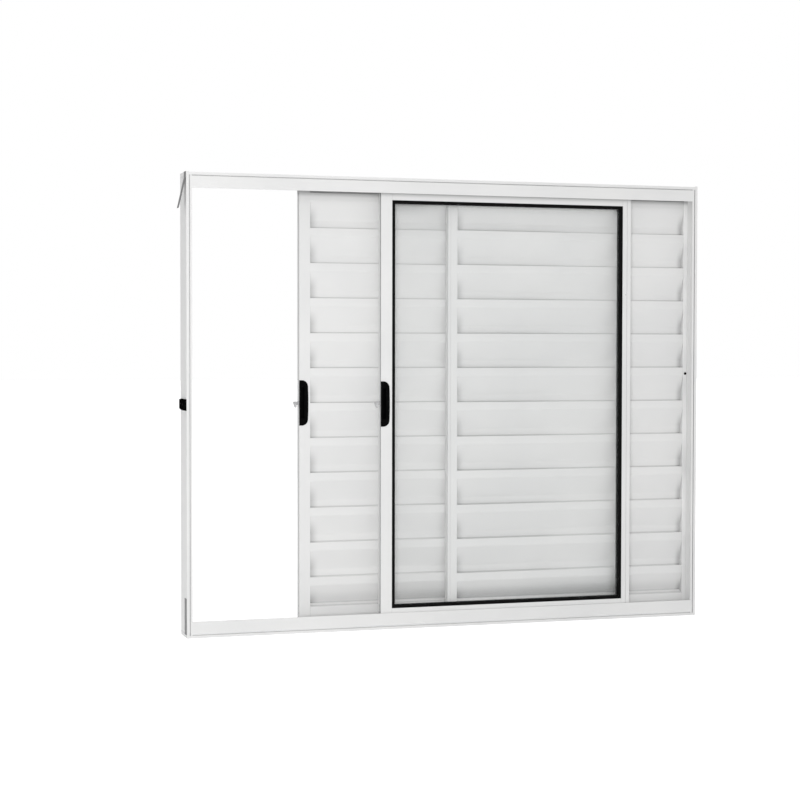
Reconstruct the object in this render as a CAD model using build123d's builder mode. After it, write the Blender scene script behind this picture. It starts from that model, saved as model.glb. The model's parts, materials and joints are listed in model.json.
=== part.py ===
from build123d import *
import os

os.makedirs("parts", exist_ok=True)

# A horizontal sliding window of coated aluminium, seen from the room side.
# X runs to the right seen from inside, Y runs outward, Z up, in millimetres.
# The origin is at the middle of the sill's underside.

# Driving dimensions: outer frame
FRAME_WIDTH = 1200.0
FRAME_HEIGHT = 1000.0
FRAME_DEPTH = 72.0
WEB = 1.4
WALL = 1.2
JAMB_SIGHT = 12.5
HEAD_SIGHT = 35.0
SILL_SIGHT = 36.0
LIP = 6.0
GROOVE = 2.0
GROOVE_DEPTH = 3.0
HEAD_SET_DOWN = 1.5
HEAD_DIVIDER = 30.5
HEAD_BACK = 28.0
SILL_BACK = 20.0
SLOT_LENGTH = 30.0
SLOT_HEIGHT = 5.0
RETURN = 3.0

# Driving dimensions: tracks and leaves
FIRST_LEAF_DEPTH = 5.0
LEAF_CLEAR = 4.0
TRACK_COUNT = 3
LEAF_THICK = (FRAME_DEPTH - 2 * FIRST_LEAF_DEPTH - (TRACK_COUNT - 1) * LEAF_CLEAR) / TRACK_COUNT
TRACK_PITCH = LEAF_THICK + LEAF_CLEAR
RIB_WIDTH = 2.0
RIB_TOP = 9.0
LEAF_WIDTH = FRAME_WIDTH / 2
LEAF_BOTTOM = 10.5
LEAF_HEAD_GAP = 8.6
LEAF_TOP = FRAME_HEIGHT - WEB - LEAF_HEAD_GAP
JAMB_FIT = 0.6
FIXED_LEAF_RIGHT = FRAME_WIDTH - WEB - JAMB_FIT
SASH_FROM_FIXED = 164.0
SLIDING_FROM_FIXED = 338.5
GLASS_SASH_LEFT = FIXED_LEAF_RIGHT - LEAF_WIDTH - SASH_FROM_FIXED
SLIDING_LEAF_LEFT = FIXED_LEAF_RIGHT - LEAF_WIDTH - SLIDING_FROM_FIXED
HANDLE_STILE = 25.0
INTERLOCK_STILE = 22.0
JAMB_STILE = 20.0
JOINT_GAP = 0.2
STILE_LINE_INSET = 5.0
SASH_LINE_INSET = 9.0
STILE_LINE_WIDTH = 1.2
STILE_LINE_DEPTH = 0.6

# Driving dimensions: rails
RAIL_CHANNEL_TOP = 22.8
LOUVRE_RAIL_FACE = 50.0
LOUVRE_RAIL_CREST = 57.0
LOUVRE_LEDGE_DEPTH = LEAF_THICK - 4.5
LOUVRE_TOP_RAIL = 20.0
LOUVRE_LEG = 15.0
LOUVRE_HEAD_RAIL = LEAF_TOP - LOUVRE_TOP_RAIL
LOUVRE_HEAD_LEG = LOUVRE_HEAD_RAIL - LOUVRE_LEG

# Driving dimensions: louvre slats
SLAT_COUNT = 12
FIRST_SLAT_GAP = 4.2
LAST_SLAT_SHOWN = 58.5
FIRST_SLAT_TOP = LOUVRE_HEAD_RAIL - FIRST_SLAT_GAP
SLAT_PITCH = (FIRST_SLAT_TOP - LOUVRE_RAIL_CREST - LAST_SLAT_SHOWN) / (SLAT_COUNT - 1)
SLAT_THICK = 1.2
SLAT_SETBACK = 1.0
SLAT_UPPER = 18.0
SLAT_LOWER = 21.3
SLAT_OVERLAP = 5.0
SLAT_SLOPE = SLAT_PITCH + SLAT_OVERLAP - SLAT_UPPER - SLAT_LOWER
SLAT_BACK_CLEAR = 2.0
SLAT_SWEEP = LEAF_THICK - SLAT_SETBACK - SLAT_THICK - SLAT_BACK_CLEAR
SLAT_BEND = 1.5
SLAT_HEM = 3.0

# Driving dimensions: glazing
GLASS_STILE_LEFT = 26.0
GLASS_STILE_RIGHT = 20.2
GLASS_TOP_RAIL = 40.0
GLASS_RAIL_TOP = LEAF_TOP - GLASS_TOP_RAIL
GLASS_RAIL_BOTTOM = 46.0
POCKET = 10.8
GLASS_THICK = 4.0
GLASS_SETBACK = LEAF_THICK / 2 - 0.5
GASKET_FACE = 7.0
GASKET_PROUD = 0.6
GASKET_FIT = 0.2
GLASS_EDGE = 2.0

# Driving dimensions: latches and running gear
LATCH_WIDTH = 20.5
LATCH_HEIGHT = 100.0
LATCH_CORNER = 14.0
LATCH_BULGE = 1.5
LATCH_PROUD = 1.8
LATCH_EDGE = 0.8
CUP_LEFT = 2.6
CUP_WIDTH = 10.0
CUP_HEIGHT = 70.0
CUP_DEPTH = 10.0
CUP_WALL = 1.0
CUP_FIT = 0.3
SASH_LATCH_Z = FRAME_HEIGHT / 2
SLIDING_LATCH_Z = SASH_LATCH_Z + 2.5
HOOK_REACH = 12.5
HOOK_SHANK = 7.0
HOOK_DROP = 6.5
HOOK_THICK = 3.0
HOOK_DEPTH = 5.0
HOOK_Z = SASH_LATCH_Z + 5.5
WHEEL_RADIUS = 6.0
WHEEL_RIM = 7.0
WHEEL_WIDTH = 6.0
WHEEL_GROOVE = 2.6
CARRIAGE_LENGTH = 50.0
CARRIAGE_INSET = 80.0
CARRIAGE_BOTTOM = 12.0
BUTTON_RADIUS = 3.0
BUTTON_PROUD = 1.0
BUTTON_INSET = 14.0
BUTTON_ABOVE_LATCH = 65.0
BUTTON_Z = SASH_LATCH_Z + BUTTON_ABOVE_LATCH

# Driving dimensions: fixings on the jambs' outer sides
STRAP_WIDTH = 18.0
STRAP_LENGTH = 78.0
STRAP_THICK = 1.0
STRAP_DEPTH = 5.0
STRAP_INSET = 7.0
STRAP_SEAT = 12.0
STRAP_SWING = 15.0
KEEPER_HEIGHT = 25.0
KEEPER_Z = SASH_LATCH_Z + 1.2
KEEPER_FRONT = 1.0
KEEPER_BACK_INSET = 10.0
KEEPER_BACK = FRAME_DEPTH - KEEPER_BACK_INSET
KEEPER_PROUD = 6.0
KEEPER_TOP_TAPER = 0.8
KEEPER_FOOT_TAPER = 4.0
KEEPER_END_TAPER = 5.0

# Positions that follow from the dimensions
X_LEFT = -FRAME_WIDTH / 2
X_RIGHT = FRAME_WIDTH / 2
Y_FRONT = -FRAME_DEPTH / 2
Y_BACK = FRAME_DEPTH / 2
LEAF_MID = FIRST_LEAF_DEPTH + LEAF_THICK / 2
DIVIDER_1 = FIRST_LEAF_DEPTH + LEAF_THICK + (TRACK_PITCH - LEAF_THICK) / 2
DIVIDER_2 = DIVIDER_1 + TRACK_PITCH
GROOVE_BACK = GROOVE_DEPTH + WALL
CARRIAGE_FIT = 0.2
CARRIAGE_DEPTH = LEAF_THICK - 2 * WALL - 2 * CARRIAGE_FIT
HEAD_TOP = FRAME_HEIGHT - HEAD_SET_DOWN
HEAD_UNDER = FRAME_HEIGHT - HEAD_SIGHT


def box_between(x0, x1, d0, d1, z0, z1, mode=Mode.ADD):
    """A block between two corners, its depth counted from the front lip."""
    with Locations(((x0 + x1) / 2, Y_FRONT + (d0 + d1) / 2, (z0 + z1) / 2)):
        Box(x1 - x0, d1 - d0, z1 - z0, mode=mode)


def strip(a0, a1, b0, b1, mode=Mode.ADD):
    """A rectangle of a section between two corners."""
    with Locations(((a0 + a1) / 2, (b0 + b1) / 2)):
        Rectangle(a1 - a0, b1 - b0, mode=mode)


# Outer frame

# Jamb: outer web, front flange with its groove, two dividers and the back flange.
with BuildPart() as left_jamb:
    with BuildSketch(Plane.XY) as jamb_section:
        with Locations((X_LEFT, Y_FRONT)):
            Rectangle(WEB, FRAME_DEPTH, align=(Align.MIN, Align.MIN))
            Rectangle(JAMB_SIGHT, WEB, align=(Align.MIN, Align.MIN))
        with Locations((X_LEFT + LIP - WALL, Y_FRONT)):
            Rectangle(GROOVE + 2 * WALL, GROOVE_BACK, align=(Align.MIN, Align.MIN))
        with Locations((X_LEFT + LIP, Y_FRONT)):
            Rectangle(GROOVE, GROOVE_DEPTH, align=(Align.MIN, Align.MIN), mode=Mode.SUBTRACT)
        with Locations((X_LEFT + JAMB_SIGHT - WALL, Y_FRONT)):
            Rectangle(WALL, RETURN, align=(Align.MIN, Align.MIN))
        with Locations((X_LEFT, Y_FRONT + DIVIDER_1 - WALL / 2), (X_LEFT, Y_FRONT + DIVIDER_2 - WALL / 2)):
            Rectangle(JAMB_SIGHT, WALL, align=(Align.MIN, Align.MIN))
        with Locations((X_LEFT, Y_BACK)):
            Rectangle(JAMB_SIGHT, WEB, align=(Align.MIN, Align.MAX))
        with Locations((X_LEFT + JAMB_SIGHT - WALL, Y_BACK)):
            Rectangle(WALL, RETURN, align=(Align.MIN, Align.MAX))
    extrude(amount=FRAME_HEIGHT)
    # the head's and the sill's lips run across to the jamb's lip
    box_between(X_LEFT + LIP, X_LEFT + JAMB_SIGHT, 0, GROOVE_BACK, HEAD_TOP - LIP, FRAME_HEIGHT, Mode.SUBTRACT)
    box_between(X_LEFT + LIP, X_LEFT + JAMB_SIGHT, 0, GROOVE_BACK, 0, LIP, Mode.SUBTRACT)
    # the head's and the sill's webs reach the jamb's web
    box_between(X_LEFT + WEB, X_LEFT + JAMB_SIGHT, WEB, FRAME_DEPTH, HEAD_TOP - WEB, FRAME_HEIGHT, Mode.SUBTRACT)
    box_between(X_LEFT + WEB, X_LEFT + JAMB_SIGHT, WEB, FRAME_DEPTH, 0, WEB, Mode.SUBTRACT)

with BuildPart() as right_jamb:
    mirror(left_jamb.part, about=Plane.YZ)

# Head: the same section with deeper flanges that open downward.
with BuildPart() as head:
    with BuildSketch(Plane.YZ.offset(X_LEFT + JAMB_SIGHT)) as head_section:
        strip(Y_FRONT, Y_BACK, HEAD_TOP - WEB, HEAD_TOP)
        strip(Y_FRONT, Y_FRONT + WEB, HEAD_UNDER, HEAD_TOP)
        strip(Y_FRONT, Y_FRONT + GROOVE_BACK, HEAD_TOP - LIP - GROOVE - WALL, HEAD_TOP - LIP + WALL)
        strip(Y_FRONT, Y_FRONT + GROOVE_DEPTH, HEAD_TOP - LIP - GROOVE, HEAD_TOP - LIP, Mode.SUBTRACT)
        strip(Y_FRONT, Y_FRONT + RETURN, HEAD_UNDER, HEAD_UNDER + WALL)
        for divider in (DIVIDER_1, DIVIDER_2):
            strip(
                Y_FRONT + divider - WALL / 2,
                Y_FRONT + divider + WALL / 2,
                FRAME_HEIGHT - HEAD_DIVIDER,
                HEAD_TOP,
            )
        strip(Y_BACK - WEB, Y_BACK, FRAME_HEIGHT - HEAD_BACK, HEAD_TOP)
        strip(Y_BACK - RETURN, Y_BACK, FRAME_HEIGHT - HEAD_BACK, FRAME_HEIGHT - HEAD_BACK + WALL)
    extrude(amount=FRAME_WIDTH - 2 * JAMB_SIGHT)
    box_between(X_LEFT + WEB, X_RIGHT - WEB, WEB, FRAME_DEPTH, HEAD_TOP - WEB, HEAD_TOP)
    box_between(X_LEFT + LIP, X_RIGHT - LIP, 0, WEB, HEAD_TOP - LIP, HEAD_TOP)

# Sill: front upstand, three running ribs and a lower back flange with drain slots.
with BuildPart() as sill:
    with BuildSketch(Plane.YZ.offset(X_LEFT + JAMB_SIGHT)) as sill_section:
        strip(Y_FRONT, Y_BACK, 0, WEB)
        strip(Y_FRONT, Y_FRONT + WEB, 0, SILL_SIGHT)
        strip(Y_FRONT, Y_FRONT + GROOVE_BACK, LIP - WALL, LIP + GROOVE + WALL)
        strip(Y_FRONT, Y_FRONT + GROOVE_DEPTH, LIP, LIP + GROOVE, Mode.SUBTRACT)
        strip(Y_FRONT, Y_FRONT + RETURN, SILL_SIGHT - WALL, SILL_SIGHT)
        for track in range(TRACK_COUNT):
            rib_y = Y_FRONT + LEAF_MID + track * TRACK_PITCH
            strip(rib_y - RIB_WIDTH / 2, rib_y + RIB_WIDTH / 2, 0, RIB_TOP)
        strip(Y_BACK - WEB, Y_BACK, 0, SILL_BACK)
        strip(Y_BACK - RETURN, Y_BACK, SILL_BACK - WALL, SILL_BACK)
    extrude(amount=FRAME_WIDTH - 2 * JAMB_SIGHT)
    box_between(X_LEFT + WEB, X_RIGHT - WEB, WEB, FRAME_DEPTH, 0, WEB)
    box_between(X_LEFT + LIP, X_RIGHT - LIP, 0, WEB, 0, LIP)
    for share in (-0.375, -0.125, 0.125, 0.375):
        slot_x = share * FRAME_WIDTH
        box_between(
            slot_x - SLOT_LENGTH / 2,
            slot_x + SLOT_LENGTH / 2,
            FRAME_DEPTH - 2 * WEB,
            FRAME_DEPTH,
            WEB + 1,
            WEB + 1 + SLOT_HEIGHT,
            Mode.SUBTRACT,
        )


# Louvred leaves

SLIDING_X = X_LEFT + SLIDING_LEAF_LEFT
SLIDING_D = FIRST_LEAF_DEPTH + 2 * TRACK_PITCH
FIXED_X = X_LEFT + FIXED_LEAF_RIGHT - LEAF_WIDTH
FIXED_D = FIRST_LEAF_DEPTH + TRACK_PITCH

# Sliding leaf, leading stile with the openings for its latch.
with BuildPart() as sliding_left_stile:
    with BuildSketch(Plane.XY.offset(LEAF_BOTTOM)):
        with Locations((SLIDING_X, Y_FRONT + SLIDING_D)):
            Rectangle(HANDLE_STILE, LEAF_THICK, align=(Align.MIN, Align.MIN))
        with Locations((SLIDING_X + WALL, Y_FRONT + SLIDING_D + WALL)):
            Rectangle(
                HANDLE_STILE - 2 * WALL,
                LEAF_THICK - 2 * WALL,
                align=(Align.MIN, Align.MIN),
                mode=Mode.SUBTRACT,
            )
    extrude(amount=LEAF_TOP - LEAF_BOTTOM)
    box_between(
        SLIDING_X + CUP_LEFT - CUP_FIT,
        SLIDING_X + CUP_LEFT + CUP_WIDTH + CUP_FIT,
        SLIDING_D,
        SLIDING_D + WALL,
        SLIDING_LATCH_Z - CUP_HEIGHT / 2 - CUP_FIT,
        SLIDING_LATCH_Z + CUP_HEIGHT / 2 + CUP_FIT,
        Mode.SUBTRACT,
    )
    box_between(
        SLIDING_X,
        SLIDING_X + WALL,
        SLIDING_D + HOOK_DEPTH - CUP_FIT,
        SLIDING_D + HOOK_DEPTH + HOOK_THICK + CUP_FIT,
        HOOK_Z - HOOK_SHANK - CUP_FIT,
        HOOK_Z + CUP_FIT,
        Mode.SUBTRACT,
    )

# Sliding leaf, trailing stile.
with BuildPart() as sliding_right_stile:
    with BuildSketch(Plane.XY.offset(LEAF_BOTTOM)):
        with Locations((SLIDING_X + LEAF_WIDTH, Y_FRONT + SLIDING_D)):
            Rectangle(INTERLOCK_STILE, LEAF_THICK, align=(Align.MAX, Align.MIN))
        with Locations((SLIDING_X + LEAF_WIDTH - WALL, Y_FRONT + SLIDING_D + WALL)):
            Rectangle(
                INTERLOCK_STILE - 2 * WALL,
                LEAF_THICK - 2 * WALL,
                align=(Align.MAX, Align.MIN),
                mode=Mode.SUBTRACT,
            )
    extrude(amount=LEAF_TOP - LEAF_BOTTOM)

# Fixed leaf, stile that stands in front of the sliding leaf.
with BuildPart() as fixed_left_stile:
    with BuildSketch(Plane.XY.offset(LEAF_BOTTOM)):
        with Locations((FIXED_X, Y_FRONT + FIXED_D)):
            Rectangle(INTERLOCK_STILE, LEAF_THICK, align=(Align.MIN, Align.MIN))
        with Locations((FIXED_X + WALL, Y_FRONT + FIXED_D + WALL)):
            Rectangle(
                INTERLOCK_STILE - 2 * WALL,
                LEAF_THICK - 2 * WALL,
                align=(Align.MIN, Align.MIN),
                mode=Mode.SUBTRACT,
            )
        with Locations((FIXED_X + STILE_LINE_INSET, Y_FRONT + FIXED_D)):
            Rectangle(
                STILE_LINE_WIDTH,
                STILE_LINE_DEPTH,
                align=(Align.MIN, Align.MIN),
                mode=Mode.SUBTRACT,
            )
    extrude(amount=LEAF_TOP - LEAF_BOTTOM)

# Fixed leaf, stile in the right jamb's channel.
with BuildPart() as fixed_right_stile:
    with BuildSketch(Plane.XY.offset(LEAF_BOTTOM)):
        with Locations((FIXED_X + LEAF_WIDTH, Y_FRONT + FIXED_D)):
            Rectangle(JAMB_STILE, LEAF_THICK, align=(Align.MAX, Align.MIN))
        with Locations((FIXED_X + LEAF_WIDTH - WALL, Y_FRONT + FIXED_D + WALL)):
            Rectangle(
                JAMB_STILE - 2 * WALL,
                LEAF_THICK - 2 * WALL,
                align=(Align.MAX, Align.MIN),
                mode=Mode.SUBTRACT,
            )
    extrude(amount=LEAF_TOP - LEAF_BOTTOM)

SLIDING_INNER = LEAF_WIDTH - HANDLE_STILE - INTERLOCK_STILE
FIXED_INNER = LEAF_WIDTH - INTERLOCK_STILE - JAMB_STILE

# Section of a slat: upright upper part, slope to the back, upright lower part.
with BuildSketch(Plane.YZ) as slat_section:
    with BuildLine():
        FilletPolyline(
            (SLAT_SETBACK + SLAT_HEM, -0.01),
            (SLAT_SETBACK, -0.01),
            (SLAT_SETBACK, -SLAT_UPPER),
            (SLAT_SETBACK + SLAT_SWEEP, -SLAT_UPPER - SLAT_SLOPE),
            (SLAT_SETBACK + SLAT_SWEEP, -SLAT_UPPER - SLAT_SLOPE - SLAT_LOWER),
            radius=SLAT_BEND,
        )
        offset(amount=SLAT_THICK, side=Side.LEFT)
    make_face()

slat_tops = [FIRST_SLAT_TOP - SLAT_PITCH * number for number in range(SLAT_COUNT)]

# Section of a louvred leaf's bottom rail: sloped ledge on top, open channel below.
RAIL_OUTER = [
    (0, LEAF_BOTTOM),
    (0, LOUVRE_RAIL_FACE),
    (LOUVRE_LEDGE_DEPTH, LOUVRE_RAIL_CREST),
    (LEAF_THICK, LOUVRE_RAIL_CREST),
    (LEAF_THICK, LEAF_BOTTOM),
]
RAIL_CAVITY = [
    (WALL, RAIL_CHANNEL_TOP + WALL),
    (WALL, LOUVRE_RAIL_FACE - 0.7),
    (LOUVRE_LEDGE_DEPTH + 0.2, LOUVRE_RAIL_CREST - WALL),
    (LEAF_THICK - WALL, LOUVRE_RAIL_CREST - WALL),
    (LEAF_THICK - WALL, RAIL_CHANNEL_TOP + WALL),
]

leaves = [
    ("sliding", SLIDING_X + HANDLE_STILE, SLIDING_D, SLIDING_INNER),
    ("fixed", FIXED_X + INTERLOCK_STILE, FIXED_D, FIXED_INNER),
]
louvred = {}
for leaf_name, rail_x, leaf_d, inner in leaves:
    leaf_y = Y_FRONT + leaf_d

    with BuildPart() as slats:
        with BuildSketch(Plane.YZ.offset(rail_x)):
            with Locations(*[(leaf_y, top) for top in slat_tops]):
                add(slat_section.sketch_local)
        extrude(amount=inner)
        # the lowest slat ends on the rail's crest
        box_between(
            rail_x - 1, rail_x + inner + 1, leaf_d - 1, leaf_d + LEAF_THICK, 0, LOUVRE_RAIL_CREST, Mode.SUBTRACT
        )

    with BuildPart() as bottom_rail:
        with BuildSketch(Plane.YZ.offset(rail_x + JOINT_GAP)):
            with BuildLine():
                Polyline(*[(leaf_y + d, z) for d, z in RAIL_OUTER], close=True)
            make_face()
            with BuildLine():
                Polyline(*[(leaf_y + d, z) for d, z in RAIL_CAVITY], close=True)
            make_face(mode=Mode.SUBTRACT)
            strip(leaf_y + WALL, leaf_y + LEAF_THICK - WALL, LEAF_BOTTOM, RAIL_CHANNEL_TOP, Mode.SUBTRACT)
        extrude(amount=inner - 2 * JOINT_GAP)

    with BuildPart() as top_rail:
        with BuildSketch(Plane.YZ.offset(rail_x + JOINT_GAP)):
            strip(leaf_y, leaf_y + LEAF_THICK, LOUVRE_HEAD_RAIL, LEAF_TOP)
            strip(
                leaf_y + WALL,
                leaf_y + LEAF_THICK - WALL,
                LOUVRE_HEAD_RAIL + WALL,
                LEAF_TOP - WALL,
                Mode.SUBTRACT,
            )
            strip(leaf_y + LEAF_THICK - WALL, leaf_y + LEAF_THICK, LOUVRE_HEAD_LEG, LOUVRE_HEAD_RAIL)
        extrude(amount=inner - 2 * JOINT_GAP)

    louvred[leaf_name] = (slats, bottom_rail, top_rail)


# Glass sash

SASH_X = X_LEFT + GLASS_SASH_LEFT
SASH_D = FIRST_LEAF_DEPTH
SASH_Y = Y_FRONT + SASH_D
OPEN_X0 = SASH_X + GLASS_STILE_LEFT
OPEN_X1 = SASH_X + LEAF_WIDTH - GLASS_STILE_RIGHT

# Handle stile: tube on the left, pocket for the glazing on the right.
with BuildPart() as sash_left_stile:
    with BuildSketch(Plane.XY.offset(LEAF_BOTTOM)):
        strip(SASH_X, OPEN_X0, SASH_Y, SASH_Y + LEAF_THICK)
        strip(
            SASH_X + WALL,
            OPEN_X0 - POCKET - WALL,
            SASH_Y + WALL,
            SASH_Y + LEAF_THICK - WALL,
            Mode.SUBTRACT,
        )
        strip(OPEN_X0 - POCKET, OPEN_X0, SASH_Y + WALL, SASH_Y + LEAF_THICK - WALL, Mode.SUBTRACT)
    extrude(amount=LEAF_TOP - LEAF_BOTTOM)
    box_between(
        SASH_X + CUP_LEFT - CUP_FIT,
        SASH_X + CUP_LEFT + CUP_WIDTH + CUP_FIT,
        SASH_D,
        SASH_D + WALL,
        SASH_LATCH_Z - CUP_HEIGHT / 2 - CUP_FIT,
        SASH_LATCH_Z + CUP_HEIGHT / 2 + CUP_FIT,
        Mode.SUBTRACT,
    )
    box_between(
        SASH_X,
        SASH_X + WALL,
        SASH_D + HOOK_DEPTH - CUP_FIT,
        SASH_D + HOOK_DEPTH + HOOK_THICK + CUP_FIT,
        HOOK_Z - HOOK_SHANK - CUP_FIT,
        HOOK_Z + CUP_FIT,
        Mode.SUBTRACT,
    )

# Interlock stile of the glass sash, with its groove line.
with BuildPart() as sash_right_stile:
    with BuildSketch(Plane.XY.offset(LEAF_BOTTOM)):
        strip(OPEN_X1, SASH_X + LEAF_WIDTH, SASH_Y, SASH_Y + LEAF_THICK)
        strip(OPEN_X1, OPEN_X1 + POCKET, SASH_Y + WALL, SASH_Y + LEAF_THICK - WALL, Mode.SUBTRACT)
        strip(
            OPEN_X1 + POCKET + WALL,
            SASH_X + LEAF_WIDTH - WALL,
            SASH_Y + WALL,
            SASH_Y + LEAF_THICK - WALL,
            Mode.SUBTRACT,
        )
        strip(
            SASH_X + LEAF_WIDTH - SASH_LINE_INSET - STILE_LINE_WIDTH,
            SASH_X + LEAF_WIDTH - SASH_LINE_INSET,
            SASH_Y,
            SASH_Y + STILE_LINE_DEPTH,
            Mode.SUBTRACT,
        )
    extrude(amount=LEAF_TOP - LEAF_BOTTOM)

with BuildPart() as sash_top_rail:
    with BuildSketch(Plane.YZ.offset(OPEN_X0 + JOINT_GAP)):
        strip(SASH_Y, SASH_Y + LEAF_THICK, GLASS_RAIL_TOP, LEAF_TOP)
        strip(
            SASH_Y + WALL,
            SASH_Y + LEAF_THICK - WALL,
            GLASS_RAIL_TOP,
            GLASS_RAIL_TOP + POCKET,
            Mode.SUBTRACT,
        )
        strip(
            SASH_Y + WALL,
            SASH_Y + LEAF_THICK - WALL,
            GLASS_RAIL_TOP + POCKET + WALL,
            LEAF_TOP - WALL,
            Mode.SUBTRACT,
        )
    extrude(amount=OPEN_X1 - OPEN_X0 - 2 * JOINT_GAP)

with BuildPart() as sash_bottom_rail:
    with BuildSketch(Plane.YZ.offset(OPEN_X0 + JOINT_GAP)):
        strip(SASH_Y, SASH_Y + LEAF_THICK, LEAF_BOTTOM, GLASS_RAIL_BOTTOM)
        strip(
            SASH_Y + WALL,
            SASH_Y + LEAF_THICK - WALL,
            GLASS_RAIL_BOTTOM - POCKET,
            GLASS_RAIL_BOTTOM,
            Mode.SUBTRACT,
        )
        strip(
            SASH_Y + WALL,
            SASH_Y + LEAF_THICK - WALL,
            RAIL_CHANNEL_TOP + WALL,
            GLASS_RAIL_BOTTOM - POCKET - WALL,
            Mode.SUBTRACT,
        )
        strip(SASH_Y + WALL, SASH_Y + LEAF_THICK - WALL, LEAF_BOTTOM, RAIL_CHANNEL_TOP, Mode.SUBTRACT)
    extrude(amount=OPEN_X1 - OPEN_X0 - 2 * JOINT_GAP)

# Pane and the gasket that wraps its edge.
RING_X0 = OPEN_X0 - POCKET + GASKET_FIT
RING_X1 = OPEN_X1 + POCKET - GASKET_FIT
RING_Z0 = GLASS_RAIL_BOTTOM - POCKET
RING_Z1 = GLASS_RAIL_TOP + POCKET - GASKET_FIT
PANE_X0 = RING_X0 + GLASS_EDGE
PANE_X1 = RING_X1 - GLASS_EDGE
PANE_Z0 = RING_Z0 + GLASS_EDGE
PANE_Z1 = RING_Z1 - GLASS_EDGE
PANE_D0 = SASH_D + GLASS_SETBACK
PANE_D1 = PANE_D0 + GLASS_THICK

with BuildPart() as glass_pane:
    box_between(PANE_X0, PANE_X1, PANE_D0, PANE_D1, PANE_Z0, PANE_Z1)

with BuildPart() as glazing_gasket:
    box_between(
        RING_X0,
        RING_X1,
        SASH_D + WALL + GASKET_FIT,
        SASH_D + LEAF_THICK - WALL - GASKET_FIT,
        RING_Z0,
        RING_Z1,
    )
    box_between(
        OPEN_X0 + GASKET_FIT,
        OPEN_X1 - GASKET_FIT,
        SASH_D + GASKET_PROUD,
        SASH_D + LEAF_THICK - GASKET_PROUD,
        GLASS_RAIL_BOTTOM + GASKET_FIT,
        GLASS_RAIL_TOP - GASKET_FIT,
    )
    box_between(
        OPEN_X0 + GASKET_FACE,
        OPEN_X1 - GASKET_FACE,
        SASH_D,
        SASH_D + LEAF_THICK,
        GLASS_RAIL_BOTTOM + GASKET_FACE,
        GLASS_RAIL_TOP - GASKET_FACE,
        Mode.SUBTRACT,
    )
    box_between(PANE_X0, PANE_X1, PANE_D0, PANE_D1, PANE_Z0, PANE_Z1, Mode.SUBTRACT)


# Latches

latches = {}
for latch_name, latch_x, latch_d, latch_z in (
    ("sliding", SLIDING_X, SLIDING_D, SLIDING_LATCH_Z),
    ("sash", SASH_X, SASH_D, SASH_LATCH_Z),
):
    # Shell: flat plate with round corners on the glazed side, finger cup let into the stile.
    with BuildPart() as latch:
        with BuildSketch(Plane.XZ.offset(-(Y_FRONT + latch_d - LATCH_PROUD))) as latch_plate:
            with Locations((latch_x + LATCH_WIDTH / 2, latch_z)):
                Rectangle(LATCH_WIDTH, LATCH_HEIGHT)
            bulge_radius = (LATCH_HEIGHT / 2) ** 2 / (2 * LATCH_BULGE)
            with Locations((latch_x + LATCH_WIDTH - bulge_radius, latch_z)):
                Circle(bulge_radius, mode=Mode.INTERSECT)
            fillet(latch_plate.vertices().group_by(Axis.X)[-1], radius=LATCH_CORNER)
        extrude(amount=-LATCH_PROUD)
        fillet(latch.faces().sort_by(Axis.Y)[0].edges(), radius=LATCH_EDGE)
        box_between(
            latch_x + CUP_LEFT,
            latch_x + CUP_LEFT + CUP_WIDTH,
            latch_d,
            latch_d + CUP_DEPTH,
            latch_z - CUP_HEIGHT / 2,
            latch_z + CUP_HEIGHT / 2,
        )
        box_between(
            latch_x + CUP_LEFT + CUP_WALL,
            latch_x + CUP_LEFT + CUP_WIDTH - CUP_WALL,
            latch_d - LATCH_PROUD,
            latch_d + CUP_DEPTH - CUP_WALL,
            latch_z - CUP_HEIGHT / 2 + CUP_WALL,
            latch_z + CUP_HEIGHT / 2 - CUP_WALL,
            Mode.SUBTRACT,
        )

    # Hook: flat steel, its point turned down outside the stile's leading side.
    with BuildPart() as hook:
        with BuildSketch(Plane.XZ.offset(-(Y_FRONT + latch_d + HOOK_DEPTH))) as hook_shape:
            with BuildLine():
                Polyline(
                    (latch_x + CUP_LEFT, HOOK_Z),
                    (latch_x - HOOK_REACH + 1, HOOK_Z),
                    (latch_x - HOOK_REACH, HOOK_Z - 3),
                    (latch_x - HOOK_REACH + 4, HOOK_Z - HOOK_SHANK - HOOK_DROP),
                    (latch_x - HOOK_REACH + 7, HOOK_Z - HOOK_SHANK - HOOK_DROP),
                    (latch_x - HOOK_REACH + 9, HOOK_Z - HOOK_SHANK),
                    (latch_x + CUP_LEFT, HOOK_Z - HOOK_SHANK),
                    close=True,
                )
            make_face()
        extrude(amount=-HOOK_THICK)

    latches[latch_name] = (latch, hook)


# Running gear

gear = {}
for gear_name, gear_x, gear_d in (("sliding", SLIDING_X, SLIDING_D), ("sash", SASH_X, SASH_D)):
    with BuildPart() as rollers:
        for centre_x in (gear_x + CARRIAGE_INSET, gear_x + LEAF_WIDTH - CARRIAGE_INSET):
            centre_y = Y_FRONT + gear_d + LEAF_THICK / 2
            with Locations((centre_x, centre_y, (CARRIAGE_BOTTOM + RAIL_CHANNEL_TOP) / 2)):
                Box(CARRIAGE_LENGTH, CARRIAGE_DEPTH, RAIL_CHANNEL_TOP - CARRIAGE_BOTTOM)
            with Locations((centre_x, centre_y, RIB_TOP + WHEEL_RADIUS)):
                Cylinder(WHEEL_RADIUS, WHEEL_WIDTH, rotation=(90, 0, 0))
            rim = (WHEEL_WIDTH - WHEEL_GROOVE) / 2
            for side_y in (-1, 1):
                rim_y = centre_y + side_y * (WHEEL_GROOVE + rim) / 2
                with Locations((centre_x, rim_y, RIB_TOP + WHEEL_RADIUS)):
                    Cylinder(WHEEL_RIM, rim, rotation=(90, 0, 0))
    gear[gear_name] = rollers

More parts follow.
